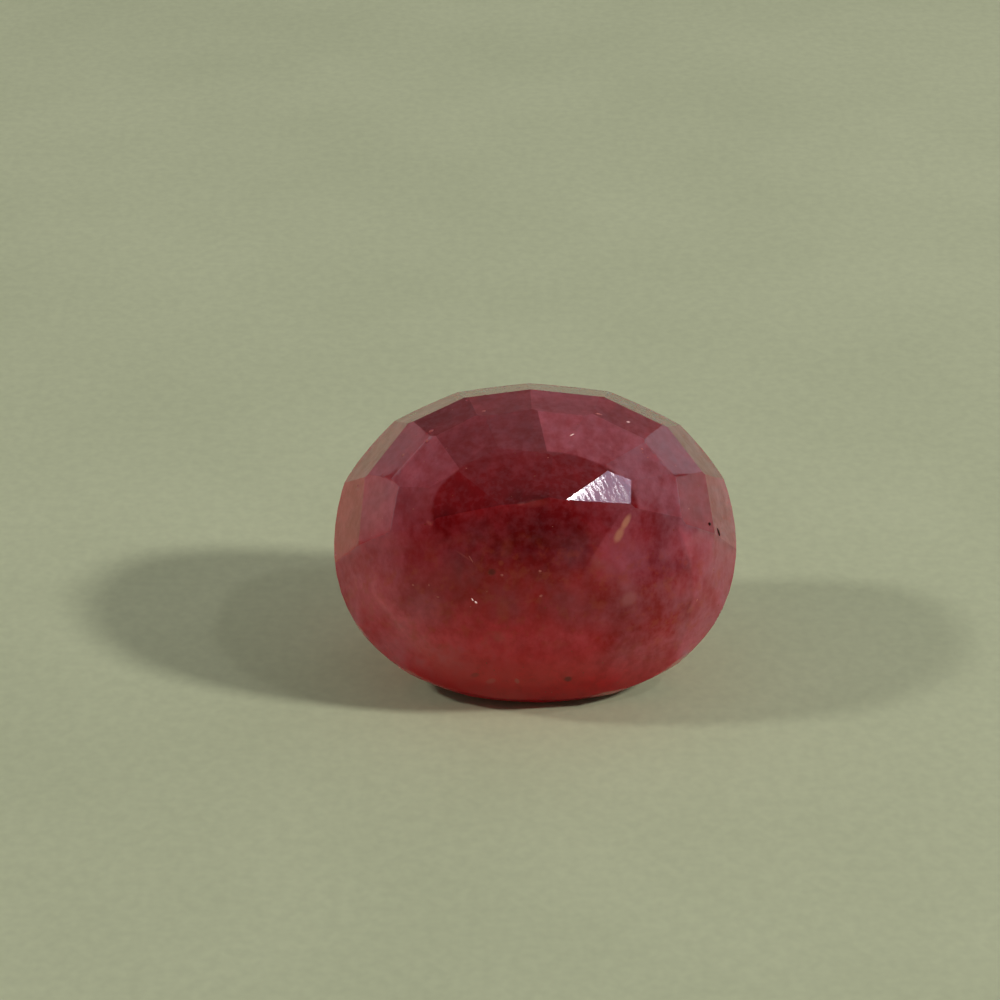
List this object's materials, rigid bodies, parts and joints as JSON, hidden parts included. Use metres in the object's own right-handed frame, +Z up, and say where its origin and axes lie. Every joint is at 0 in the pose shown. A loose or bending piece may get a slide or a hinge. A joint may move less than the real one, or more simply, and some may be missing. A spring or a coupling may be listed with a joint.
{
  "type": "faceted oval ruby gemstone",
  "caption": "Loose oval ruby, hand cut with stepped facets that climb to a short keel; it lies on a wide crown facet with its keel side up.",
  "frame": {"origin": "bottom centre of the box round the stone as it lies, on the plane of the crown facet that it rests on", "axes": "+X along the oval's length, +Y away from the keel side, +Z up; the girdle plane leans 45 degrees, keel side up and towards -Y"},
  "size_m": [0.012, 0.008, 0.0081],
  "materials": {
    "ruby": "polished"
  },
  "bodies": {
    "root": {"stone": "ruby"}
  },
  "joints": []
}
